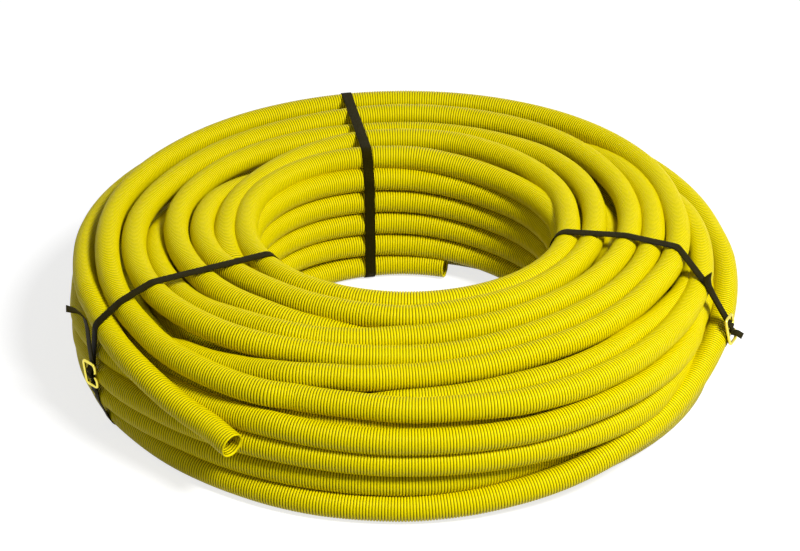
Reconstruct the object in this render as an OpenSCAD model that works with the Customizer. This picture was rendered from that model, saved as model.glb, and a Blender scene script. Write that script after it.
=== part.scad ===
// Coil of corrugated pipe, lying flat, held by three plastic straps with bent-wire buckles.
// Millimetres. The coil's axis is Z, the floor is Z = 0, and angles run anticlockwise from +X.

/* [Pipe] */
// Outside diameter of the pipe, over its ribs
pipe_d = 25; // [22:0.5:28]
// Wall of the pipe, from the top of a rib to the bore
pipe_wall = 2.6; // [1.5:0.1:4]

/* [Winding] */
// Diameter of the centre hole, clear between the turns
hole_d = 300; // [240:5:380]
// Number of layers, counted from the hole outwards
layers = 8; // [5:1:10]
// Turns stacked in the innermost layer
inner_rows = 6; // [6:1:8]
// Whole turns stacked in the outermost layer, below the last turn
outer_rows = 4; // [3:1:4]
// How far neighbouring layers sink into each other
layer_nest = 1.4; // [0.4:0.1:3]
// How far stacked turns are pressed into each other
row_squeeze = 0.3; // [0.2:0.1:1]
// How much lower the top of the winding is at the last layer but two than at the innermost
top_fall = 13; // [4:1:20]
// How much lower every second layer lies in its neighbours' grooves
groove_dip = 2; // [0:0.5:6]
// How much lower the last layer but one lies than a whole row below the innermost
shoulder_drop = 4; // [2:0.5:8]

/* [Pipe ends] */
// Angle at which the first turn starts with its open end
inner_end_at = 74; // [60:1:90]
// Part of the first turn that lies flat, in degrees
first_flat = 250; // [200:5:260]
// Part of the first turn that climbs to the second row, in degrees
first_climb = 68; // [50:1:80]
// Angle at which the last turn has climbed on top of the row below it
level_from = 335; // [325:1:338]
// Part of the last turn, and of each end of the turn on the shoulder, that climbs, in degrees
last_climb = 60; // [40:1:75]
// How far past the left strap the turn on the shoulder stays level, in degrees
shoulder_past = 5; // [3:1:12]
// Slope of the free end, down from the left strap
free_end_slope = 11.5; // [8:0.5:14]
// Radius of the free end's bend
free_end_bend = 490; // [430:10:800]
// Turn of the free end's bend
free_end_turn = 20; // [10:0.5:22]
// Straight length at the free end's mouth
mouth_straight = 45; // [42:1:60]
// Depth to which an open end is modelled hollow
mouth_depth = 40; // [20:1:40]

/* [Straps] */
// Width of a strap
strap_w = 12; // [8:0.5:16]
// Thickness of a strap
strap_t = 0.8; // [0.5:0.1:1.2]
// Clearance between a strap and what it touches
strap_gap = 0.15; // [0.1:0.05:0.3]
// Angle of the strap at the back
back_at = 102.5; // [95:0.5:110]
// Angle of the strap on the left
left_at = 208.5; // [205:0.5:212]
// Angle of the strap on the right
right_at = 345; // [343:0.5:350]
// Radius of the coil at which the upper returned ends stop, on top of their straps
return_r = 310; // [300:1:320]
// Length of the lower returned ends below their buckles
short_return = 8; // [4:0.5:14]
// Length of the left strap's loose end, which stands off the coil
loose_end = 41; // [20:1:50]
// Angle of the loose end above the horizontal
loose_rise = 50; // [30:1:70]

/* [Buckles] */
// Diameter of the buckle's wire
wire_d = 2.6; // [2:0.1:3.2]
// Length of a buckle along the strap, between wire centres
buckle_len = 26; // [24:1:30]
// Room on each side of the strap inside a buckle
buckle_room = 1.2; // [0.6:0.1:2]
// Bend radius of the wire, at its centre
wire_bend = 3.5; // [3:0.1:4]
// Height of the left buckle's middle above the floor
left_buckle_z = 64; // [50:1:76]
// Height of the right buckle's middle above the floor
right_buckle_z = 79; // [50:1:84]
// Height of the back buckle's middle above the floor
back_buckle_z = 70; // [50:1:80]

/* [Hidden] */

pipe_yellow = "#e6d800";
strap_black = "#2a2a20";
wire_metal = "#d9cf7a";

ring_fn = 180;                               // facets once round the coil
tube_fn = 48;                                // facets round the pipe
wire_fn = 32;                                // facets round a wire

pipe_r = pipe_d / 2;
bore_r = pipe_r - pipe_wall;
layer_step = pipe_d - layer_nest;
row_step = pipe_d - row_squeeze;
lift = strap_t + strap_gap;                  // the coil rests on its straps
last = layers - 1;
sunk = 0.3 * pipe_d;                         // how deep a climbing end lies in the winding
splice = 0.04 * pipe_d;                      // offset between two stretches of pipe that join
lap_turn = 1;                                // and how far round the coil they overlap, in degrees
strap_lap = strap_t / 8;                     // how far two stretches of strap overlap
full_turn = 360;

// Centre of the pipe in a layer and in a row of the section, as [radius, height]
function layer_r(k) = hole_d / 2 + pipe_r + k * layer_step;
function row_z(j) = lift + pipe_r + j * row_step;
function top_z(k) = row_z(inner_rows - 1) - top_fall * pow(k / (last - 2), 2) - (k % 2) * groove_dip;

// Centres round the edge of the section, anticlockwise: outwards along the floor, up the outermost
// layer, up the step behind it to the shoulder, inwards over the top and down the hole.
// The first turn, the last turn and the turn on the shoulder are not in it: they have ends and are
// made by themselves.
shoulder_c = [layer_r(last - 1), row_z(inner_rows - 2) - shoulder_drop];
edge_turns = concat(
    [for (k = [1:last - 1]) [layer_r(k), row_z(0)]],
    [for (j = [0:outer_rows - 1]) [layer_r(last), row_z(j)]],
    [shoulder_c - [0, row_step], shoulder_c],
    [for (k = [last - 2:-1:1]) [layer_r(k), top_z(k)]],
    [for (j = [inner_rows - 1:-1:1]) [layer_r(0), row_z(j)]]);
first_turn_c = [layer_r(0), row_z(0)];
last_turn_c = [layer_r(last), row_z(outer_rows)];

function degrees_of(length, radius) = length / radius * full_turn / (2 * PI);
function turn_between(from, to) = to > from ? to - from : to + full_turn - from;
// Slope at which a bend of this radius starts, to rise by one row in this turn
function climb_slope(radius, turn) = asin(row_step / (radius * sin(turn)));

strap_at_r = layer_r(last) + pipe_r + strap_gap;    // inner face of a strap on the outer wall
layer_2 = strap_t + strap_gap;                      // a strap's second layer lies this far out
wire_at = layer_2 + layer_2 + wire_d / 2;           // and the wire's centre on top of both
loop_r = wire_d / 2 + 2 * strap_gap;                // inside of the strap's loop round a prong
half_l = buckle_len / 2;
half_w = strap_w / 2 + buckle_room + wire_d / 2;
prong_y = loop_r + strap_t + strap_gap / 2;         // both loops fit between the two prongs
under_bar = half_l - wire_d;                        // where the returned end slips under the end bar

// Pipe that follows the coil level, from one angle on
module level_turn(c, from, angle, d = pipe_d)
    rotate([0, 0, from]) rotate_extrude(angle = angle, $fn = ring_fn)
        translate(c) circle(d = d, $fn = tube_fn);

// Moves its children to the pipe's centre c at an angle of the coil, heading anticlockwise along +Y
// and sloping up by slope
module on_coil(c, at, slope)
    rotate([0, 0, at]) translate([c[0], 0, c[1]]) rotate([slope, 0, 0]) children();

// Pipe from the origin along +Y that turns left
module bend(radius, angle)
    translate([-radius, 0, 0]) rotate_extrude(angle = angle, $fn = ring_fn)
        translate([radius, 0]) circle(d = pipe_d, $fn = tube_fn);

// Moves its children to the end of a bend
module after_bend(radius, angle)
    translate([-radius, 0, 0]) rotate([0, 0, angle]) translate([radius, 0, 0]) children();

// The turns that go all the way round, fused as one turned solid
module whole_turns()
    rotate_extrude($fn = ring_fn) {
        polygon(edge_turns);
        for (c = edge_turns) translate(c) circle(d = pipe_d, $fn = tube_fn);
    }

// The first turn starts with an open end on the floor and climbs into the second row
module first_turn() {
    climb_r = first_turn_c[0] + sunk;
    difference() {
        level_turn(first_turn_c, inner_end_at, first_flat);
        level_turn(first_turn_c, inner_end_at - lap_turn,
                   lap_turn + degrees_of(mouth_depth, first_turn_c[0]), 2 * bore_r);
    }
    on_coil(first_turn_c + [splice, splice], inner_end_at + first_flat - lap_turn,
            climb_slope(climb_r, first_climb))
        bend(climb_r, first_climb);
}

// Pipe that climbs out of the turn with centre c, up to one row higher at the level turns' start
module climbing_out(c)
    on_coil(c - [splice, splice], level_from - last_climb, climb_slope(c[0], last_climb))
        bend(c[0], last_climb + lap_turn);

// The turn on the shoulder climbs out of it, lies level past the left strap and sinks back into it
module shoulder_turn() {
    level_to = left_at + shoulder_past;
    level_turn(shoulder_c + [0, row_step], level_from, turn_between(level_from, level_to));
    climbing_out(shoulder_c);
    rotate([0, 0, level_from + level_to]) mirror([0, 1, 0]) climbing_out(shoulder_c);
}

// The last turn climbs out of the row below, lies level up to the left strap and goes on as the free end
module last_turn() {
    level_turn(last_turn_c, level_from, turn_between(level_from, left_at) + lap_turn / 2);
    climbing_out(last_turn_c - [0, row_step]);
    on_coil(last_turn_c - [splice, splice], left_at - lap_turn, -free_end_slope)
        after_bend(free_end_bend, free_end_turn) {
            mirror([0, 1, 0]) bend(free_end_bend, free_end_turn);
            mouth();
        }
}

// The straight open end of the pipe
module mouth()
    rotate([-90, 0, 0]) difference() {
        cylinder(d = pipe_d, h = mouth_straight, $fn = tube_fn);
        translate([0, 0, mouth_straight - mouth_depth])
            cylinder(r = bore_r, h = mouth_depth + splice, $fn = tube_fn);
    }

module pipe() color(pipe_yellow) {
    whole_turns();
    first_turn();
    shoulder_turn();
    last_turn();
}

// Section of everything that a strap goes round, grown by gap
module strapped_section(gap)
    hull() for (c = concat(edge_turns, [first_turn_c, shoulder_c + [0, row_step], last_turn_c]))
        translate(c) circle(r = pipe_r + gap, $fn = 72);

// One layer of strap round the winding, as a section
module strap_layer(gap)
    difference() {
        strapped_section(gap + strap_t);
        strapped_section(gap);
    }

// Box on the strap's outer wall, between two distances out from its inner face and two heights
module wall_box(out, z)
    translate([strap_at_r + out[0], z[0]]) square([out[1] - out[0], z[1] - z[0]]);

// How one end of the strap is held: it comes along the wall, goes round its prong and
// back under the end bar. The section is drawn from the buckle's middle upwards.
module loop_section() {
    in = wire_at - loop_r;
    out = wire_at + loop_r;
    bar_y = under_bar + strap_lap;
    polygon([[0, bar_y], [0, under_bar], [in - strap_t, prong_y],
             [in, prong_y], [strap_t, under_bar], [strap_t, bar_y]]);
    translate([wire_at, prong_y]) difference() {
        circle(r = loop_r + strap_t, $fn = 48);
        circle(r = loop_r, $fn = 48);
        translate([-pipe_r, strap_lap]) square([pipe_d, pipe_d]);
    }
    polygon([[layer_2, bar_y], [layer_2, under_bar], [out, prong_y],
             [out + strap_t, prong_y], [layer_2 + strap_t, under_bar], [layer_2 + strap_t, bar_y]]);
}

// A strap with its returned ends. The upper one follows the strap inwards to stop_r
module strap(at, buckle_z, stop_r, loose = 0) {
    coil_h = row_z(inner_rows);
    color(strap_black) rotate([0, 0, at]) rotate([90, 0, 0])
        translate([0, 0, -strap_w / 2]) linear_extrude(strap_w) {
            difference() {
                strap_layer(strap_gap);
                wall_box([-strap_t, 2 * strap_t], [buckle_z - under_bar, buckle_z + under_bar]);
            }
            translate([strap_at_r, buckle_z]) {
                loop_section();
                mirror([0, 1]) loop_section();
            }
            wall_box([layer_2, layer_2 + strap_t],
                     [buckle_z - half_l - short_return, buckle_z - under_bar]);
            intersection() {
                strap_layer(strap_gap + layer_2);
                translate([stop_r, buckle_z + under_bar]) square([strap_at_r, coil_h]);
            }
            if (loose > 0)
                translate([strap_at_r + layer_2 + strap_t, row_z(outer_rows) - strap_t])
                    rotate(loose_rise) square([loose, strap_t]);
        }
}

// A buckle lies on its strap: x runs across the strap, y along it and z outwards
module buckle(at, z)
    color(wire_metal)
        rotate([0, 0, at]) translate([strap_at_r + wire_at, 0, z]) rotate([90, 0, 90]) {
            half_buckle();
            mirror([0, 1, 0]) half_buckle();
        }

// One wire is bent into a rectangle, and its two ends turn inwards as two prongs.
// A half of it runs from the tip of a prong round to the middle of the far side.
module half_buckle() {
    side_x = half_w - wire_bend;
    translate([wire_d + buckle_room - half_w, prong_y, 0]) wire_x(side_x + half_w - wire_d - buckle_room);
    translate([side_x, prong_y + wire_bend, 0]) wire_corner(270);
    translate([half_w, prong_y + wire_bend, 0]) wire_y(half_l - prong_y - 2 * wire_bend);
    translate([side_x, half_l - wire_bend, 0]) wire_corner(0);
    translate([-side_x, half_l, 0]) wire_x(2 * side_x);
    translate([-side_x, half_l - wire_bend, 0]) wire_corner(90);
    translate([-half_w, 0, 0]) wire_y(half_l - wire_bend);
}

module wire_x(length) rotate([0, 90, 0]) cylinder(d = wire_d, h = length, $fn = wire_fn);
module wire_y(length) rotate([-90, 0, 0]) cylinder(d = wire_d, h = length, $fn = wire_fn);
module wire_corner(from)
    rotate([0, 0, from]) rotate_extrude(angle = 90, $fn = 48)
        translate([wire_bend, 0]) circle(d = wire_d, $fn = wire_fn);

module strap_back() strap(back_at, back_buckle_z, return_r);
module strap_left() strap(left_at, left_buckle_z, strap_at_r, loose_end);
module strap_right() strap(right_at, right_buckle_z, return_r);
module buckle_back() buckle(back_at, back_buckle_z);
module buckle_left() buckle(left_at, left_buckle_z);
module buckle_right() buckle(right_at, right_buckle_z);

pipe();
strap_back();
strap_left();
strap_right();
buckle_back();
buckle_left();
buckle_right();
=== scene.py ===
"""A coil of yellow corrugated pipe with its straps and buckles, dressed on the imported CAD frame.

Lengths are in metres, apart from the winding's lanes, which are in pipe diameters.
"""

import math

import bpy
import numpy as np
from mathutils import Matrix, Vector


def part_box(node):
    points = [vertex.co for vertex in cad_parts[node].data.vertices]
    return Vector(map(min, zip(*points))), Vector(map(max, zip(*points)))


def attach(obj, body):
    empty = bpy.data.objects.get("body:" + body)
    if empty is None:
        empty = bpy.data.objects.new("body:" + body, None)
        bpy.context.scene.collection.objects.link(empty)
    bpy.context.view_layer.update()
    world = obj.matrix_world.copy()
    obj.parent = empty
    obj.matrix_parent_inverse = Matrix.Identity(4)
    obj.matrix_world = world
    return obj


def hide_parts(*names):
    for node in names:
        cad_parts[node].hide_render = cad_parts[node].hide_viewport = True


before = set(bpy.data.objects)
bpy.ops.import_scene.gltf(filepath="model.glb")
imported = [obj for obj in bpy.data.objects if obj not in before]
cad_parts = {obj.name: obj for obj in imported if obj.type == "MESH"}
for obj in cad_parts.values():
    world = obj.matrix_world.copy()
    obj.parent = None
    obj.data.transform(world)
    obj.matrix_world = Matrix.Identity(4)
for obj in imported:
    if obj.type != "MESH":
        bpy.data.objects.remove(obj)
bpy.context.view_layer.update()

# the pipe's diameter over its ribs, the ribs, and the wall that shows at an open end
PIPE_D = 0.025
RIB_PITCH = 0.00283
RIB_DEPTH = 0.0012
WALL = 0.0013
# the shares of the pitch at which a rib's flat crest ends, and at which the valley after it lies
CREST_SHARE = 0.56
VALLEY_AT = 0.78
# number of ribs over which an open end is hollow
MOUTH_RIBS = 24
# a ribbed pipe's section has its vertices close together over the arc that shows, in degrees
SHOWN_ARC = 210
SHOWN_SIDES = 12
HIDDEN_SIDES = 3
# height of the winding's underside above the floor
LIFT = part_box("pipe")[0].z


# ---------------------------------------------------------------- lines and lanes

def unit(vectors):
    """The vectors, one to a row, with length 1."""
    return vectors / np.linalg.norm(vectors, axis=-1, keepdims=True)


def distance_along(points):
    """The distance from the first point, along the line, at each of its points."""
    return np.concatenate([[0], np.cumsum(np.linalg.norm(np.diff(points, axis=0), axis=1))])


def points_at(at, marks, points):
    """Points of a line at the given marks, where marks has one value for each of its points."""
    return np.stack([np.interp(at, marks, column) for column in points.T], -1)


def even_steps(points, step):
    """The line with points at equal steps, fitted to its length, and the number of steps."""
    length = distance_along(points)
    count = max(2, int(round(length[-1] / step)))
    return points_at(np.linspace(0, length[-1], count + 1), length, points), count


def smooth_through(xs, ys, at):
    """A smooth curve through the given values that never overshoots them."""
    xs, ys = np.asarray(xs, float), np.asarray(ys, float)
    step = np.diff(xs)
    rate = np.diff(ys) / step
    slope = np.zeros_like(ys)
    slope[0], slope[-1] = rate[0], rate[-1]
    for i in range(1, len(xs) - 1):
        if rate[i - 1] * rate[i] > 0:
            a, b = 2 * step[i] + step[i - 1], step[i] + 2 * step[i - 1]
            slope[i] = (a + b) / (a / rate[i - 1] + b / rate[i])
    i = np.clip(np.searchsorted(xs, at) - 1, 0, len(xs) - 2)
    h = step[i]
    t = (at - xs[i]) / h
    return ((1 + 2 * t) * (1 - t) ** 2 * ys[i] + t * (1 - t) ** 2 * h * slope[i]
            + t * t * (3 - 2 * t) * ys[i + 1] + t * t * (t - 1) * h * slope[i + 1])


def lane_at(lane, azimuth):
    """Distance from the axis and height of a lane at the azimuths, in pipe diameters."""
    azimuths, r, z = zip(*lane)
    return smooth_through(azimuths, r, azimuth), smooth_through(azimuths, z, azimuth)


def lane_points(lane, step=0.25):
    """Points of a lane's centre line in metres, a step of azimuth apart."""
    first, last = lane[0][0], lane[-1][0]
    azimuth = np.clip(np.arange(first, last + step / 2, step), first, last)
    r, z = lane_at(lane, azimuth)
    a = np.radians(azimuth)
    return np.stack([r * PIPE_D * np.cos(a), r * PIPE_D * np.sin(a), z * PIPE_D + LIFT], -1)


# ---------------------------------------------------------------- meshes

class Mesh:
    """Vertices and faces of one piece, and each vertex's place along it.

    The place is counted in ribs on a pipe, and in embossed diamonds on a strap.
    """

    def __init__(self):
        self.verts, self.quads, self.tris, self.ribs, self.count = [], [], [], [], 0

    def add_grid(self, rings, ribs, closed):
        """Rings of points joined by quads; closed also joins the last ring to the first."""
        n, m = rings.shape[:2]
        base = self.count
        self.verts.append(rings.reshape(-1, 3))
        self.ribs.append(np.repeat(ribs, m))
        self.count += n * m
        here = np.arange(n if closed else n - 1)[:, None]
        side = np.arange(m)[None, :]
        ahead, beside = (here + 1) % n, (side + 1) % m
        corners = (here, side), (here, beside), (ahead, beside), (ahead, side)
        faces = np.stack([base + along * m + across for along, across in corners], -1)
        self.quads.append(faces.reshape(-1, 4))
        return base

    def cap(self, first, m, centre, flip):
        """A fan that closes the ring of m vertices from vertex first."""
        self.verts.append(np.array([centre]))
        self.ribs.append(np.zeros(1))
        middle = self.count
        self.count += 1
        i = first + np.arange(m)
        j = first + (np.arange(m) + 1) % m
        fan = np.stack([i, j, np.full(m, middle)], -1)
        self.tris.append(fan[:, ::-1] if flip else fan)

    def add_capped(self, rings, ribs, first, last):
        """A tube of rings, closed at its ends by fans round the points first and last."""
        n, m = rings.shape[:2]
        base = self.add_grid(rings, ribs, False)
        self.cap(base, m, first, True)
        self.cap(base + (n - 1) * m, m, last, False)

    def build(self, name):
        """The Blender object, with the places along it as the attribute rib."""
        verts = np.concatenate(self.verts)
        quads = np.concatenate(self.quads)
        tris = np.concatenate(self.tris) if self.tris else np.zeros((0, 3), int)
        mesh = bpy.data.meshes.new(name)
        mesh.vertices.add(len(verts))
        mesh.vertices.foreach_set("co", verts.astype(np.float32).ravel())
        loops = np.concatenate([quads.ravel(), tris.ravel()])
        sizes = np.concatenate([np.full(len(quads), 4), np.full(len(tris), 3)])
        mesh.loops.add(len(loops))
        mesh.loops.foreach_set("vertex_index", loops.astype(np.int32))
        mesh.polygons.add(len(sizes))
        mesh.polygons.foreach_set("loop_start", (np.cumsum(sizes) - sizes).astype(np.int32))
        mesh.polygons.foreach_set("use_smooth", np.full(len(sizes), True))
        rib = mesh.attributes.new("rib", "FLOAT", "POINT")
        rib.data.foreach_set("value", np.concatenate(self.ribs).astype(np.float32))
        mesh.update(calc_edges=True)
        mesh.validate()
        obj = bpy.data.objects.new(name, mesh)
        bpy.context.scene.collection.objects.link(obj)
        return obj


def outward_and_up(points, closed):
    """Unit vectors away from the coil's axis and upwards, both square to a line round the axis."""
    if closed:
        tangent = np.roll(points, -1, 0) - np.roll(points, 1, 0)
    else:
        tangent = np.gradient(points, axis=0)
    tangent = unit(tangent)
    out = unit(np.cross(tangent, [0, 0, 1.0]))
    return out, np.cross(out, tangent)


def section_rings(points, out, up, radius, angles):
    """A ring of vertices round each point of a line, in the plane of its two vectors."""
    c, s = np.cos(angles), np.sin(angles)
    return points[:, None, :] + radius[:, None, None] * (
        c[None, :, None] * out[:, None, :] + s[None, :, None] * up[:, None, :])


def angles_facing(facing):
    """Angles of a ribbed section's vertices, whose shown arc faces a direction in degrees."""
    shown = facing + np.linspace(-SHOWN_ARC / 2, SHOWN_ARC / 2, SHOWN_SIDES)
    steps = np.arange(1, HIDDEN_SIDES + 1)
    hidden = facing + SHOWN_ARC / 2 + steps * (360 - SHOWN_ARC) / (HIDDEN_SIDES + 1)
    return np.radians(np.concatenate([shown, hidden]))[::-1]


def add_ribbed(mesh, line, facing, closed, mouth):
    """A corrugated pipe along a line. Its mouth is None, or "start" or "end" for an open end."""
    marks, count = even_steps(line, RIB_PITCH)
    ribs = (np.arange(count)[:, None] + np.array([0, CREST_SHARE, VALLEY_AT])).ravel()
    points = points_at(ribs, np.arange(count + 1), marks)
    radius = np.tile([PIPE_D / 2, PIPE_D / 2, PIPE_D / 2 - RIB_DEPTH], count)
    out, up = outward_and_up(points, closed)
    angles = angles_facing(facing)
    if closed:
        mesh.add_grid(section_rings(points, out, up, radius, angles), ribs, True)
        return
    if mouth == "start":
        points, out, up, radius, ribs = (rows[::-1] for rows in (points, out, up, radius, ribs))
        angles = angles[::-1]
    rings = section_rings(points, out, up, radius, angles)
    if mouth is None:
        mesh.add_capped(rings, ribs, points[0], points[-1])
        return
    # the mouth is at the last crest, and from there the bore runs back inside
    crests = np.flatnonzero(radius == PIPE_D / 2)
    kept = slice(0, crests[-1] + 1)
    points, out, up, radius, ribs, rings = (
        rows[kept] for rows in (points, out, up, radius, ribs, rings))
    bottom = -1 - 3 * MOUTH_RIBS
    back = slice(None, bottom, -1)
    bore = section_rings(points[back], out[back], up[back], radius[back] - WALL, angles)
    mesh.add_capped(np.concatenate([rings, bore]), np.concatenate([ribs, ribs[back]]),
                    points[0], points[bottom])


def add_plain(mesh, line, sides=12, step=0.018):
    """A smooth closed turn of pipe, for turns that hardly show; its ribs are bump."""
    marks, _ = even_steps(line, step)
    points = marks[:-1]
    out, up = outward_and_up(points, True)
    angles = np.radians(-np.arange(sides) * 360 / sides)
    radius = np.full(len(points), PIPE_D / 2 - RIB_DEPTH / 2)
    length = np.linalg.norm(np.diff(marks, axis=0), axis=1).mean()
    ribs = np.arange(len(points)) * length / RIB_PITCH
    mesh.add_grid(section_rings(points, out, up, radius, angles), ribs, True)


# ---------------------------------------------------------------- the winding, lane by lane
# A lane is one or more turns of the pipe, or a part of a turn. Its points are (azimuth in degrees,
# distance from the coil's axis, height above the winding's underside), the last two in pipe
# diameters. Azimuths run anticlockwise from +X, and on below 0 or past 360 where a lane does.

ROW_STEP = 0.988
LAYER_STEP = 0.944
FIRST_LAYER = 6.5
BOTTOM_ROW = 0.5


def layer_r(k):
    """Distance from the axis of layer k, counted outwards from 0."""
    return FIRST_LAYER + LAYER_STEP * k


def row_z(j):
    """Height of row j, counted upwards from 0."""
    return BOTTOM_ROW + ROW_STEP * j


def ring(r, z):
    """A lane that closes on itself at one distance and height."""
    return [(0, r, z), (180, r, z), (360, r, z)]


# the turns of the inner wall, one climbing helix that starts at the open inner end
inner_wall = [(74, 6.25, 0.5), (150, 6.4, 0.5), (250, 6.45, 0.5), (330, 6.45, 0.6)]
for row in range(1, 5):
    turn = 360 * row
    low = row_z(row) + 0.035 * row
    inner_wall += [(turn + 50, 6.35, low - 0.42), (turn + 90, 6.25 + 0.04 * row, low - 0.08),
                   (turn + 150, 6.42, low + 0.2), (turn + 260, 6.45, low + 0.35)]

# the top of the winding, from the hole outwards
top_inner_first = [
    (-100, 6.45, 4.94), (20, 6.4, 5.0), (50, 6.45, 5.08), (70, 6.5, 5.25), (90, 6.65, 5.42),
    (120, 6.9, 5.43), (150, 6.8, 5.43), (180, 6.5, 5.43), (215, 6.42, 5.43), (270, 6.45, 5.43),
    (320, 6.5, 5.43), (360, 6.56, 5.43), (390, 7.15, 5.43), (420, 7.9, 5.43), (440, 8.35, 5.43),
    (460, 8.4, 5.43), (480, 8.0, 5.43), (510, 7.45, 5.42), (540, 7.3, 5.35), (562, 7.35, 5.2),
    (575, 7.45, 4.6), (590, 7.5, 4.0)
]
top_inner_second = [
    (125, 7.9, 4.4), (140, 8.0, 4.9), (150, 8.1, 5.15), (165, 8.28, 5.35), (180, 8.25, 5.42),
    (200, 8.05, 5.42), (215, 7.65, 5.42), (230, 7.45, 5.42), (250, 7.42, 5.42), (270, 7.46, 5.4),
    (290, 7.25, 5.4), (320, 7.27, 5.42), (340, 7.4, 5.43), (360, 7.62, 5.43), (375, 7.95, 5.43),
    (390, 8.4, 5.43), (405, 8.8, 5.42), (420, 9.1, 5.33), (450, 9.7, 5.15), (480, 9.45, 5.35),
    (510, 9.43, 5.43), (525, 9.42, 5.43), (540, 9.32, 5.42), (560, 9.1, 5.38), (575, 8.92, 5.3),
    (590, 8.6, 5.2), (600, 8.4, 5.05), (610, 8.15, 4.85), (625, 8.0, 4.5), (640, 8.0, 4.0)
]
top_middle = [
    (160, 10.1, 4.2), (170, 10.12, 4.5), (180, 10.15, 4.8), (200, 10.1, 4.95), (215, 10.0, 5.02),
    (230, 9.64, 5.15), (240, 9.5, 5.2), (250, 9.15, 5.1), (260, 8.8, 5.1), (270, 8.5, 5.1),
    (290, 8.35, 5.2), (310, 8.4, 5.3), (330, 8.55, 5.35), (345, 8.8, 5.4), (360, 9.05, 5.42),
    (375, 9.4, 5.42), (390, 9.83, 5.42), (420, 10.7, 5.43), (450, 10.98, 5.43), (480, 10.7, 5.43),
    (510, 10.65, 5.43), (540, 10.93, 5.43), (568, 11.1, 5.35), (590, 10.8, 5.2), (610, 10.05, 4.98),
    (630, 9.55, 4.85), (660, 9.5, 5.1), (690, 9.7, 5.3), (720, 10.0, 5.35), (750, 10.8, 5.2),
    (765, 11.2, 4.9), (780, 11.4, 4.4), (800, 11.4, 3.9), (840, 11.4, 3.6)
]
top_outer = [
    (170, 11.5, 3.4), (200, 11.6, 3.55), (218, 11.65, 3.9), (224, 11.6, 4.15), (230, 11.5, 4.22),
    (237, 11.35, 4.35), (243, 11.35, 4.55), (247, 11.33, 4.65), (254, 11.12, 4.72),
    (260, 10.95, 4.7), (270, 10.6, 4.65), (280, 10.5, 4.72), (290, 10.53, 4.85), (300, 10.59, 5.0),
    (310, 10.65, 5.1), (320, 10.67, 5.2), (330, 10.67, 5.25), (345, 10.85, 5.3), (352, 10.93, 5.35),
    (360, 11.0, 5.4), (368, 11.08, 5.42), (390, 11.66, 5.42), (420, 12.28, 5.42), (450, 12.5, 5.4),
    (480, 12.3, 5.42), (510, 12.05, 5.43), (540, 12.02, 5.4), (552, 12.1, 5.3), (559, 12.2, 5.15),
    (566, 12.27, 4.95), (575, 12.32, 4.75), (581, 12.42, 4.65), (590, 12.5, 4.55),
    (600, 12.49, 4.42), (605, 12.44, 4.38), (611, 12.22, 4.33), (620, 12.2, 4.3),
    (630, 12.36, 4.28), (640, 12.46, 4.33), (650, 12.65, 4.39), (660, 12.67, 4.46),
    (670, 12.58, 4.55), (680, 12.36, 4.55), (691, 12.12, 4.5), (698, 12.02, 4.52),
    (706, 12.0, 4.62), (714, 11.9, 4.78), (722, 11.8, 4.95), (730, 11.7, 4.98), (740, 11.55, 4.85),
    (755, 11.4, 4.4), (770, 11.35, 3.6)
]
shoulder = [
    (258, 11.45, 3.6), (270, 11.5, 4.08), (280, 11.48, 4.2), (290, 11.5, 4.35), (300, 11.57, 4.45),
    (310, 11.5, 4.5), (320, 11.35, 4.52), (330, 11.33, 4.42), (342, 11.53, 4.4), (352, 11.65, 4.4),
    (362, 11.6, 4.2), (375, 11.5, 3.8)
]

# parts of deeper turns that show in the gaps of the top and of the outer wall
gap_right = [
    (300, 8.2, 4.3), (330, 8.15, 4.65), (360, 8.3, 4.75), (380, 8.5, 4.6), (400, 8.8, 4.2)
]
gap_front = [
    (195, 12.1, 3.2), (215, 12.1, 3.4), (270, 12.1, 3.4), (300, 12.1, 3.6), (330, 12.0, 3.5)
]

# the closed rows of the outer wall, and the last turn: it goes round once as the bottom row, climbs
# on the right, goes round again on top of the wall and comes down as the free end
wall_upper = [
    (0, 12.0, 3.4), (20, 12.2, 3.4), (60, 13.1, 3.45), (185, 13.1, 3.42), (198, 13.3, 3.38),
    (208, 13.15, 3.33), (222, 12.75, 3.27), (235, 12.75, 3.29), (248, 12.93, 3.42),
    (258, 13.0, 3.37), (270, 13.05, 3.34), (289, 13.05, 3.36), (302, 13.0, 3.52), (309, 12.97, 3.6),
    (320, 12.82, 3.67), (331, 12.45, 3.6), (340, 12.1, 3.55), (360, 12.0, 3.4)
]
wall_middle = [
    (0, 12.4, 2.5), (60, 13.1, 2.45), (185, 13.1, 2.44), (200, 13.3, 2.42), (212, 13.28, 2.42),
    (226, 13.08, 2.43), (248, 13.0, 2.47), (270, 13.03, 2.41), (288, 13.0, 2.41),
    (300, 12.98, 2.45), (314, 12.92, 2.52), (322, 12.6, 2.62), (335, 12.2, 2.6), (360, 12.4, 2.5)
]
wall_lower = [
    (0, 12.4, 1.5), (60, 13.1, 1.45), (190, 13.1, 1.45), (206, 13.22, 1.44), (218, 13.05, 1.46),
    (230, 12.83, 1.47), (248, 12.8, 1.44), (270, 12.75, 1.41), (280, 12.62, 1.44),
    (288, 12.42, 1.5), (297, 12.2, 1.5), (360, 12.4, 1.5)
]
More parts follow.
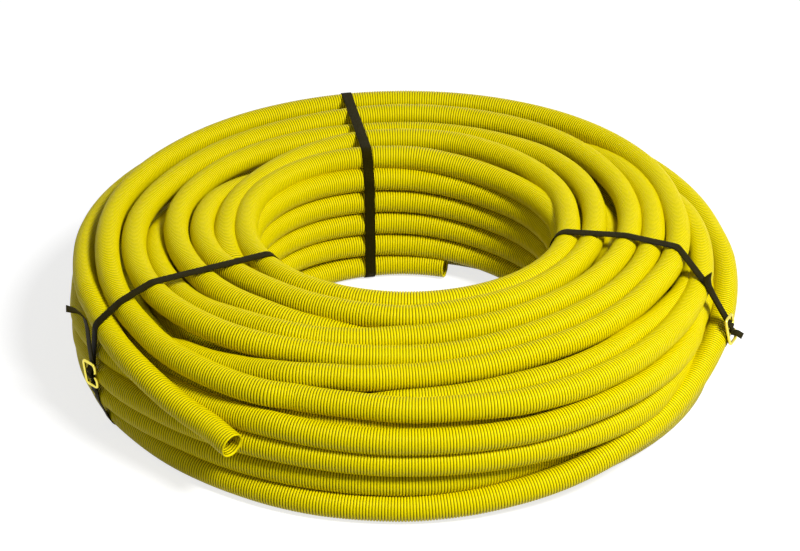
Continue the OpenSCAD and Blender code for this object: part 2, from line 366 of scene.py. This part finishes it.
last_turn = [
    (-70, 11.7, 0.5), (-40, 11.75, 0.5), (-20, 11.85, 0.5), (0, 12.2, 0.5), (30, 12.9, 0.5),
    (60, 13.1, 0.5), (150, 13.0, 0.5), (194, 12.83, 0.5), (208, 12.82, 0.5), (216, 12.79, 0.5),
    (229, 12.86, 0.5), (240, 12.93, 0.5), (249, 13.04, 0.5), (257, 13.1, 0.5), (268, 13.1, 0.5),
    (280, 13.08, 0.62), (287, 13.05, 0.75), (296, 13.05, 0.97), (305, 13.05, 1.3),
    (310, 13.05, 1.5), (317, 13.02, 1.72), (325, 12.98, 2.08), (335, 12.95, 2.55),
    (341, 12.97, 2.88), (350, 12.96, 3.4), (360, 12.95, 3.8), (371, 12.85, 4.1), (379, 12.83, 4.3),
    (394, 12.85, 4.5), (402, 12.9, 4.55), (450, 13.02, 4.6), (500, 13.05, 4.6), (535, 13.0, 4.6),
    (546, 12.97, 4.6), (553, 13.02, 4.6), (558, 13.07, 4.58), (562, 13.05, 4.48),
    (566, 13.08, 4.36), (571, 13.2, 4.22), (580, 13.4, 4.0), (592, 13.55, 3.37), (598, 13.7, 3.1),
    (603.2, 14.08, 2.85)
]

# the lanes that a strap lies on
STRAPPED_LANES = [inner_wall, top_inner_first, top_inner_second, top_middle, top_outer, shoulder,
                  wall_upper, wall_middle, wall_lower, last_turn]


# ---------------------------------------------------------------- materials

YELLOW = (0.88, 0.74, 0.0)
YELLOW_DEEP = (0.78, 0.65, 0.0)
YELLOW_WORN = (0.93, 0.80, 0.01)
# painted shade: a dark colour for the valleys between the ribs, where shade falls
VALLEY_SHADE = (0.12, 0.10, 0.0)
SHEEN = (1.0, 0.86, 0.12)
STRAP_DARK = (0.010, 0.008, 0.001)
STRAP_PALE = (0.024, 0.019, 0.002)
ZINC_DEEP = (0.80, 0.66, 0.04)
ZINC_PALE = (0.94, 0.84, 0.18)


def new_material(name):
    """A material, its node tree and its shader."""
    mat = bpy.data.materials.new(name)
    mat.use_nodes = True
    return mat, mat.node_tree, mat.node_tree.nodes["Principled BSDF"]


def node(tree, kind, **settings):
    made = tree.nodes.new(kind)
    for key, value in settings.items():
        setattr(made, key, value)
    return made


def feed(tree, socket, value):
    """Links a node's output to a socket, or sets the socket to a colour or a number."""
    if isinstance(value, bpy.types.NodeSocket):
        tree.links.new(value, socket)
    elif isinstance(value, tuple):
        socket.default_value = (*value, 1)
    else:
        socket.default_value = value


def math_node(tree, operation, *values):
    made = node(tree, "ShaderNodeMath", operation=operation)
    for socket, value in zip(made.inputs, values):
        feed(tree, socket, value)
    return made.outputs[0]


def grey_ramp(tree, factor, stops):
    """Greys at the given places, blended between them."""
    made = node(tree, "ShaderNodeValToRGB")
    elements = made.color_ramp.elements
    while len(elements) < len(stops):
        elements.new(0.5)
    for element, (position, grey) in zip(elements, stops):
        element.position = position
        element.color = (grey, grey, grey, 1)
    tree.links.new(factor, made.inputs[0])
    return made.outputs[0]


def mix_colour(tree, factor, a, b):
    made = node(tree, "ShaderNodeMix", data_type="RGBA")
    for socket, value in zip((made.inputs[0], made.inputs[6], made.inputs[7]), (factor, a, b)):
        feed(tree, socket, value)
    return made.outputs[2]


def noise(tree, scale, detail):
    place = node(tree, "ShaderNodeTexCoord")
    made = node(tree, "ShaderNodeTexNoise")
    made.inputs["Scale"].default_value = scale
    made.inputs["Detail"].default_value = detail
    made.inputs["Roughness"].default_value = 0.55
    tree.links.new(place.outputs["Object"], made.inputs["Vector"])
    return made.outputs["Fac"]


def attribute(tree, name):
    return node(tree, "ShaderNodeAttribute", attribute_name=name).outputs["Fac"]


def vary_roughness(tree, shader, wander, low, high):
    """A roughness that wanders between two values with a noise."""
    rough = node(tree, "ShaderNodeMapRange")
    rough.inputs["To Min"].default_value = low
    rough.inputs["To Max"].default_value = high
    tree.links.new(wander, rough.inputs["Value"])
    tree.links.new(rough.outputs[0], shader.inputs["Roughness"])


def add_bump(tree, shader, height, distance, strength=1.0):
    bump = node(tree, "ShaderNodeBump")
    bump.inputs["Distance"].default_value = distance
    bump.inputs["Strength"].default_value = strength
    tree.links.new(height, bump.inputs["Height"])
    tree.links.new(bump.outputs[0], shader.inputs["Normal"])


def pipe_material(name, bumped):
    """Satin yellow plastic whose rib valleys carry painted shade, a dark colour; the ribs are bump if
    bumped is true.
    """
    mat, tree, shader = new_material(name)
    part = math_node(tree, "FRACT", attribute(tree, "rib"))
    away = math_node(tree, "ABSOLUTE", math_node(tree, "SUBTRACT", part, VALLEY_AT))
    wrapped = math_node(tree, "MINIMUM", away, math_node(tree, "SUBTRACT", 1.0, away))
    # crest is 1 on the crests and 0 in the valleys: the mask of the painted valley shade, and the bump of
    # the plain turns
    crest = grey_ramp(tree, wrapped, [(0.0, 0.0), (0.10, 0.12), (0.23, 1.0)])
    body = mix_colour(tree, noise(tree, 38.0, 4.0), YELLOW_DEEP, YELLOW)
    scuffs = grey_ramp(tree, noise(tree, 420.0, 2.0), [(0.55, 0.0), (0.75, 0.35)])
    scuffed = mix_colour(tree, scuffs, body, YELLOW_WORN)
    # the valleys are painted dark as shade, on top of the shade that the real grooves of the ribbed pipe
    # cast
    feed(tree, shader.inputs["Base Color"], mix_colour(tree, crest, VALLEY_SHADE, scuffed))
    vary_roughness(tree, shader, noise(tree, 160.0, 3.0), 0.38, 0.55)
    shader.inputs["Specular IOR Level"].default_value = 0.22
    feed(tree, shader.inputs["Specular Tint"], SHEEN)
    if bumped:
        add_bump(tree, shader, crest, RIB_DEPTH)
    else:
        add_bump(tree, shader, noise(tree, 900.0, 2.0), 0.00012, 0.5)
    return mat


def strap_material():
    """Black plastic, embossed with small diamonds."""
    mat, tree, shader = new_material("strap_black")
    feed(tree, shader.inputs["Base Color"],
         mix_colour(tree, noise(tree, 60.0, 4.0), STRAP_DARK, STRAP_PALE))
    vary_roughness(tree, shader, noise(tree, 220.0, 3.0), 0.45, 0.7)
    shader.inputs["Specular IOR Level"].default_value = 0.05
    feed(tree, shader.inputs["Specular Tint"], SHEEN)
    along, across = attribute(tree, "rib"), attribute(tree, "across")
    slants = [math_node(tree, way, along, across) for way in ("ADD", "SUBTRACT")]
    waves = [math_node(tree, "SINE", math_node(tree, "MULTIPLY", slant, math.pi)) for slant in slants]
    add_bump(tree, shader, math_node(tree, "MULTIPLY", *waves), 0.00025)
    return mat


def buckle_material():
    """Yellow-passivated zinc on steel wire."""
    mat, tree, shader = new_material("buckle_zinc")
    feed(tree, shader.inputs["Base Color"],
         mix_colour(tree, noise(tree, 240.0, 3.0), ZINC_DEEP, ZINC_PALE))
    shader.inputs["Metallic"].default_value = 1.0
    vary_roughness(tree, shader, noise(tree, 500.0, 2.0), 0.2, 0.38)
    return mat


ribbed_yellow = pipe_material("pipe_yellow", False)
bumped_yellow = pipe_material("pipe_yellow_plain", True)
strap_black = strap_material()
buckle_zinc = buckle_material()


def finish_piece(obj, material, slot, *nodes):
    """Gives a piece its material, and puts it in the place of the CAD nodes."""
    obj.data.materials.append(material)
    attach(obj, "root")
    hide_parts(*nodes)


# ---------------------------------------------------------------- the pipe

def ribbed_piece(name, *lanes):
    """A piece of ribbed lanes: (lane, direction that shows, whether it is a closed turn, mouth)."""
    mesh = Mesh()
    for lane, facing, closed, mouth in lanes:
        add_ribbed(mesh, lane_points(lane), facing, closed, mouth)
    finish_piece(mesh.build(name), ribbed_yellow, "pipe", "pipe")


def hidden_turns():
    """The turns inside the winding, which hardly show; the top ones lie lower outwards."""
    places = [(layer_r(k), row_z(j)) for k in range(1, 7) for j in range(4 if k < 6 else 3)]
    places += [(7.5, 4.4), (8.45, 4.2), (9.35, 4.0), (10.2, 3.8)]
    mesh = Mesh()
    for r, z in places:
        add_plain(mesh, lane_points(ring(r, z), 3.0))
    finish_piece(mesh.build("pipe_hidden_turns"), bumped_yellow, "pipe", "pipe")


ribbed_piece("pipe_inner_turns", (inner_wall, 175, False, "start"))
ribbed_piece("pipe_top_inner_turns",
             (top_inner_first, 90, False, None), (top_inner_second, 90, False, None))
ribbed_piece("pipe_top_middle_turns", (top_middle, 80, False, None), (gap_right, 90, False, None))
ribbed_piece("pipe_top_outer_turns", (top_outer, 60, False, None), (shoulder, 60, False, None))
ribbed_piece("pipe_outer_turns_upper",
             (wall_upper, 10, True, None), (wall_middle, 0, True, None), (gap_front, 60, False, None))
ribbed_piece("pipe_outer_turns_lower", (wall_lower, 0, True, None))
ribbed_piece("pipe_last_turn", (last_turn, -10, False, "end"))
hidden_turns()


# ---------------------------------------------------------------- straps and buckles
# A strap's path is drawn in an upright plane through the coil's axis, as (distance along the plane,
# height) in metres. Directions in it are degrees: 0 points away from the axis and 90 points up.
# Round its buckle the path is (out of the buckle's plane, along the strap) in metres.

STRAP_W = 0.0112
STRAP_T = 0.0008
# gap between a strap and what it touches, and the thickness that one layer of it takes
GAP = 0.00014
LAYER = STRAP_T + GAP
SECOND_LAYER = LAYER + STRAP_T / 2
# chamfer of the strap's long edges, and the size of its embossed diamonds
STRAP_EDGE = STRAP_T * 0.3
EMBOSSING = 0.0016
# degrees between two directions of a strap's belt, and the step at which a path's next point is
# too close to the last one and is left out
BELT_STEP = 2.5
TOO_CLOSE = 0.00004
# lengths of a strap's first end that are twisted, cut slantwise and, if it lies flat, lifted off
TWISTED = 0.03
SLANTED = 0.01
LIFTED = 0.012
# below BEND_FROM a strap runs straight, and from there to BEND_TO it takes up its way on top
BEND_FROM = 0.05
BEND_TO = 0.08

# the buckle: a rectangle of bent wire whose two ends turn in as prongs near its middle
WIRE_D = 0.0031
WIRE_BEND = 0.0035
SIDE_ROOM = 0.0012
HALF_LENGTH = 0.013
HALF_WIDTH = STRAP_W / 2 + SIDE_ROOM + WIRE_D / 2
WIRE_OUT = 2 * LAYER + WIRE_D / 2
# the strap's way round a prong, and its place under the rectangle's end bar
LOOP_R = WIRE_D / 2 + 2 * GAP + STRAP_T / 2
PRONG_AT = LOOP_R + STRAP_T / 2 + GAP / 2
UNDER_BAR = HALF_LENGTH - WIRE_D
# a wire's end narrows to this share of its radius, and then domes by the other
END_NARROWS = 0.72
END_DOMES = 0.35


def heading(degrees):
    """The unit vector in a direction of the plane."""
    a = np.radians(degrees)
    return np.stack([np.cos(a), np.sin(a)], -1)


def belt(centres, wide, tall, directions):
    """Points where a belt round the ellipses faces the given directions."""
    facing = heading(directions)
    size = np.stack([wide, tall], -1)
    support = np.linalg.norm(facing[:, None, :] * size[None, :, :], axis=2)
    first = np.argmax(facing @ centres.T + support, axis=1)
    at = np.arange(len(facing)), first
    return centres[first] + facing * size[first] ** 2 / support[at][:, None]


class Seat:
    """A strap's way round the winding, and the place of its buckle on the outermost turn there.

    The way is (distance from the axis in pipe diameters, azimuth) from the inner turns outwards. The
    strap stands in the upright plane at the last azimuth, and strays sideways from it as the way does.
    The buckle lies on the outermost turn near the height, on the side of it that faces the direction,
    slid along the strap.
    """

    def __init__(self, way, height, direction, slide):
        self.bearing = way[-1][1]
        run = heading(self.bearing)
        self.run = np.array([run[0], run[1], 0])
        self.side = np.array([-run[1], run[0], 0])
        reach, stray = zip(*[r * PIPE_D * heading(azimuth - self.bearing) for r, azimuth in way])
        self.reach, self.stray = np.array(reach), np.array(stray)
        self.turns, self.wide = self.crossing_turns()
        near = self.turns[np.abs(self.turns[:, 1] - height) < PIPE_D]
        self.direction = direction
        self.out = heading(direction)
        self.along = heading(direction + 90)
        self.origin = near[np.argmax(near[:, 0])] + (PIPE_D / 2 + GAP) * self.out + slide * self.along

    def sideways(self, reach, height):
        """How far the strap strays to the side: as its way does on top, and straight across below."""
        on_top = smooth_through(self.reach, self.stray, np.clip(reach, self.reach[0], self.reach[-1]))
        below = np.interp(reach, self.reach[[0, -1]], self.stray[[0, -1]])
        return below + np.clip((height - BEND_FROM) / (BEND_TO - BEND_FROM), 0, 1) * (on_top - below)

    def crossing_turns(self):
        """Centres of the turns that the strap crosses, and half the width that its plane cuts of each."""
        centres, wide = [], []
        for lane in STRAPPED_LANES:
            first, last = lane[0][0], lane[-1][0]
            for turn in np.arange(self.bearing - 720, last + 30, 360):
                slant = 0.0
                for _ in range(8):
                    r, z = lane_at(lane, np.clip([turn + math.degrees(slant)], first, last))
                    reach = r[0] * PIPE_D * math.cos(slant)
                    slant = math.asin(self.sideways(reach, z[0] * PIPE_D) / (r[0] * PIPE_D))
                if first <= turn + math.degrees(slant) <= last:
                    centres.append((reach, z[0] * PIPE_D + LIFT))
                    wide.append(PIPE_D / 2 / math.cos(slant))
        return np.array(centres), np.array(wide)

    def place(self, points):
        """From (out of the buckle's plane, along the strap) to the strap's plane."""
        points = np.asarray(points, float)
        return self.origin + points[:, :1] * self.out + points[:, 1:] * self.along

    def wrap(self, extra, start, stop):
        """The belt round the winding and the buckle's two bars, between two directions."""
        bars = self.place([(-GAP, UNDER_BAR), (-GAP, -UNDER_BAR)])
        centres = np.concatenate([self.turns, bars])
        wide = np.concatenate([self.wide, np.zeros(2)]) + GAP + extra
        tall = np.concatenate([np.full(len(self.turns), PIPE_D / 2), np.zeros(2)]) + GAP + extra
        return belt(centres, wide, tall, np.arange(start, stop, BELT_STEP))

    def level(self, flat):
        """Directions of the strap's plane as directions in space."""
        return flat[:, :1] * self.run + flat[:, 1:] * np.array([0, 0, 1.0])

    def world(self, flat):
        """Points of the strap's plane as points in space, strayed sideways."""
        return self.level(flat) + self.sideways(flat[:, 0], flat[:, 1])[:, None] * self.side


def prong_loop(side):
    """One end of the strap round its prong, from the first layer to the second, side +1 or -1."""
    arc = [(WIRE_OUT + LOOP_R * c, PRONG_AT + LOOP_R * s) for c, s in heading(np.arange(180, 361, 20))]
    points = [(STRAP_T / 2, UNDER_BAR)] + arc
    return [(out, side * along) for out, along in points]


def end_on_strap(seat, reach, rise):
    """An upper returned end that lies on its strap for a length and lifts off at its tip."""
    under_bar = seat.place([(SECOND_LAYER, UNDER_BAR)])
    path = np.concatenate([under_bar, seat.wrap(SECOND_LAYER, seat.direction + 1, 120)])
    path = points_at(np.arange(0, reach, 0.002), distance_along(path), path)
    away = unit(path[-1] - path[-2])
    up = np.array([away[1], -away[0]])
    tip = path[-1] + np.array([(LIFTED / 2, rise * 0.3), (LIFTED, rise)]) @ np.stack([away, up])
    return np.concatenate([path, tip])[::-1]


def rounded(points, reach):
    """The path with its corners cut twice, for soft bends."""
    for _ in range(2):
        step = np.diff(points, axis=0)
        length = np.linalg.norm(step, axis=1)[:, None]
        cut = np.minimum(reach / np.maximum(length, 1e-9), 0.25) * step
        inner = np.stack([points[:-1] + cut, points[1:] - cut], 1).reshape(-1, 2)
        points = np.concatenate([points[:1], inner[1:-1], points[-1:]])
        reach /= 2
    return points


def strap_section():
    """Corners of a strap's section, as (across it, through it), going round."""
    w, t = STRAP_W / 2, STRAP_T / 2
    edge = STRAP_EDGE
    half = [(-w, -t + edge), (-w + edge, -t), (0, -t), (w - edge, -t), (w, -t + edge)]
    return half + [(-across, -through) for across, through in half]


def band(name, seat, path, cut, twist):
    """A strap along a path in its plane. Its first end is cut at a slope, and twisted in radians."""
    step = np.linalg.norm(np.diff(path, axis=0), axis=1)
    path = path[np.concatenate([[True], step > TOO_CLOSE])]
    flow = unit(np.gradient(path, axis=0))
    face = np.stack([flow[:, 1], -flow[:, 0]], -1)
    middle = seat.world(path)
    forward = unit(np.gradient(middle, axis=0))
    across = unit(np.cross(seat.level(face), forward))
    normal = np.cross(forward, across)
    length = distance_along(path)
    turn = twist * np.clip(1 - length / TWISTED, 0, 1) ** 2
    side = across * np.cos(turn)[:, None] + normal * np.sin(turn)[:, None]
    slant = cut * np.clip(1 - length / SLANTED, 0, 1)
    section = strap_section()
    rings = np.stack([middle + w * side + t * normal + forward * (slant * w)[:, None]
                      for w, t in section], 1)
    mesh = Mesh()
    mesh.add_capped(rings, length / EMBOSSING, rings[0].mean(0), rings[-1].mean(0))
    obj = mesh.build(name)
    values = np.tile([w / EMBOSSING for w, _ in section], len(path))
    across_of = obj.data.attributes.new("across", "FLOAT", "POINT")
    across_of.data.foreach_set("value", np.concatenate([values, [0, 0]]).astype(np.float32))
    return obj


def strap(name, seat, upper_end, lower_end, cut, twist):
    """A strap from the tip of its upper returned end, round the winding, to its lower returned end."""
    around_coil = seat.wrap(STRAP_T / 2, seat.direction + 1, seat.direction + 359)
    upper = seat.place(prong_loop(1))[::-1]
    lower = seat.place(prong_loop(-1) + lower_end)
    path = np.concatenate([upper_end, upper, around_coil, lower])
    obj = band(name + "_band", seat, rounded(path, 0.001), cut, twist)
    finish_piece(obj, strap_black, "strap", name)


def wire_path():
    """The wire as (across the strap, along it): in from one prong, round, and in again as the other."""
    right, left = HALF_WIDTH, -HALF_WIDTH
    tip = left + WIRE_D + SIDE_ROOM
    corners = [(tip, PRONG_AT), (right, PRONG_AT), (right, HALF_LENGTH), (left, HALF_LENGTH),
               (left, -HALF_LENGTH), (right, -HALF_LENGTH), (right, -PRONG_AT), (tip, -PRONG_AT)]
    path = [np.array(corners[0])]
    for before, corner, after in zip(corners, corners[1:], corners[2:]):
        before, corner, after = map(np.array, (before, corner, after))
        room = min(WIRE_BEND, np.linalg.norm(corner - before) / 2, np.linalg.norm(after - corner) / 2)
        come = room * unit(corner - before)
        go = room * unit(after - corner)
        centre = corner - come + go
        for t in np.linspace(0, math.pi / 2, 7):
            path.append(centre - go * math.cos(t) + come * math.sin(t))
    path.append(np.array(corners[-1]))
    return np.array(path)


def wire(name, points, sides=14):
    """A round wire along a line, with domed ends."""
    flow = unit(np.gradient(points, axis=0))
    normals = [unit(np.cross(flow[0], [0.3, 0.4, 0.87]))]
    for f in flow[1:]:
        normals.append(unit(normals[-1] - f * (normals[-1] @ f)))
    normals = np.array(normals)
    radius = np.full(len(points), WIRE_D / 2)
    dome = radius[0] * END_DOMES
    radius[[0, -1]] *= END_NARROWS
    angles = np.arange(sides) * 2 * math.pi / sides
    rings = section_rings(points, normals, np.cross(flow, normals), radius, angles)
    first, last = points[0] - flow[0] * dome, points[-1] + flow[-1] * dome
    mesh = Mesh()
    mesh.add_capped(rings, np.zeros(len(points)), first, last)
    return mesh.build(name)


def buckle(name, seat, yaw, pitch):
    """A bent-wire buckle on its seat, turned about its length by yaw and about its width by pitch."""
    x, y = wire_path().T
    out = WIRE_OUT + x * math.sin(yaw) + y * math.sin(pitch)
    in_plane = seat.place(np.stack([out, y * math.cos(pitch)], -1))
    points = seat.world(in_plane) + (x * math.cos(yaw))[:, None] * seat.side
    finish_piece(wire(name + "_wire", points), buckle_zinc, "buckle", name)


left_seat = Seat([(6.3, 211), (13.4, 208.7)], 0.064, 0, 0.002)
right_seat = Seat([(6.0, 347), (7.8, 349.3), (9, 349.2), (10.5, 348), (11.5, 345.3), (12.3, 342.0),
                   (13.0, 340.8), (13.4, 340.2)], 0.079, 10, 0.008)
back_seat = Seat([(6.3, 105), (13.4, 102)], 0.070, 0, 0)

# returned ends, round the buckle
standing_off = [(SECOND_LAYER, UNDER_BAR), (0.003, 0.030), (0.004, 0.052), (0.0065, 0.064),
                (0.014, 0.0725), (0.024, 0.0775)]
lying_flat = [(SECOND_LAYER, -UNDER_BAR), (SECOND_LAYER, -HALF_LENGTH - 0.008)]
curled_out = [(0.004, -0.003), (0.009, -0.0035), (0.0145, -0.0075)]

strap("strap_left", left_seat, left_seat.place(standing_off)[::-1], lying_flat, 0.3, 0.25)
strap("strap_right", right_seat, end_on_strap(right_seat, 0.038, 0.006), curled_out, 0.25, 0.6)
strap("strap_back", back_seat, end_on_strap(back_seat, 0.018, 0.001), lying_flat, 0.3, 0.0)
buckle("buckle_left", left_seat, -0.28, 0.10)
buckle("buckle_right", right_seat, 0.12, -0.06)
buckle("buckle_back", back_seat, 0.05, 0.03)


# ---------------------------------------------------------------- floor, light and camera

HALF_FLOOR = 6.0
FLOOR_GREY = 0.45
FLOOR_GLOW = 0.75
WORLD_LIGHT = 0.17
# the point that the lamps face, and the one that the camera looks at
LIT_POINT = Vector((0, 0, 0.05))
TARGET = np.array([-0.0063, 0.0, 0.0819])
CAMERA_DISTANCE = 2.595
CAMERA_ELEVATION = math.radians(28.1)
FOCAL_LENGTH_MM = 114.2
SENSOR_WIDTH_MM = 36.0


def add_object(name, data):
    obj = bpy.data.objects.new(name, data)
    bpy.context.scene.collection.objects.link(obj)
    return obj


def seen_directly(tree):
    """1 on rays that show the background as it is: to the camera, mirrored or through glass."""
    path = node(tree, "ShaderNodeLightPath")
    some = math_node(tree, "MAXIMUM", path.outputs["Is Camera Ray"], path.outputs["Is Glossy Ray"])
    return math_node(tree, "MAXIMUM", some, path.outputs["Is Transmission Ray"])


def make_floor():
    """A plain grey floor that glows to white where it is seen, so that only the shadow shows."""
    corners = [(x * HALF_FLOOR, y * HALF_FLOOR, 0) for x, y in ((-1, -1), (1, -1), (1, 1), (-1, 1))]
    mesh = bpy.data.meshes.new("floor")
    mesh.from_pydata(corners, [], [(0, 1, 2, 3)])
    floor = add_object("floor", mesh)
    mat, tree, shader = new_material("floor_white")
    feed(tree, shader.inputs["Base Color"], (FLOOR_GREY, FLOOR_GREY, FLOOR_GREY))
    shader.inputs["Roughness"].default_value = 0.9
    shader.inputs["Specular IOR Level"].default_value = 0.0
    feed(tree, shader.inputs["Emission Color"], (1, 1, 1))
    feed(tree, shader.inputs["Emission Strength"],
         math_node(tree, "MULTIPLY", seen_directly(tree), FLOOR_GLOW))
    floor.data.materials.append(mat)


def make_light(name, place, size, power):
    """A round soft lamp that faces the coil."""
    light = bpy.data.lights.new(name, "AREA")
    light.shape = "DISK"
    light.size = size
    light.energy = power
    obj = add_object(name, light)
    obj.location = place
    obj.rotation_euler = (LIT_POINT - Vector(place)).to_track_quat("-Z", "Y").to_euler()


def make_world():
    """A world that lights softly and is white where it is seen."""
    world = bpy.data.worlds.new("studio")
    bpy.context.scene.world = world
    world.use_nodes = True
    tree = world.node_tree
    light = tree.nodes["Background"]
    feed(tree, light.inputs["Color"], (1, 1, 1))
    to_white = math_node(tree, "MULTIPLY", seen_directly(tree), 1 - WORLD_LIGHT)
    feed(tree, light.inputs["Strength"], math_node(tree, "ADD", WORLD_LIGHT, to_white))


def make_camera():
    """The photograph's camera, in front of the coil and above it."""
    camera = bpy.data.cameras.new("camera")
    camera.lens = FOCAL_LENGTH_MM
    camera.sensor_width = SENSOR_WIDTH_MM
    view = add_object("camera", camera)
    away = np.array([0, -math.cos(CAMERA_ELEVATION), math.sin(CAMERA_ELEVATION)])
    view.location = TARGET + CAMERA_DISTANCE * away
    view.rotation_euler = (math.pi / 2 - CAMERA_ELEVATION, 0, 0)
    bpy.context.scene.camera = view


make_floor()
make_light("key", (1.4, -1.6, 2.4), 0.9, 108)
make_light("fill", (-2.0, -1.2, 2.2), 2.0, 2)
make_world()
make_camera()
bpy.context.scene.view_settings.view_transform = "Standard"
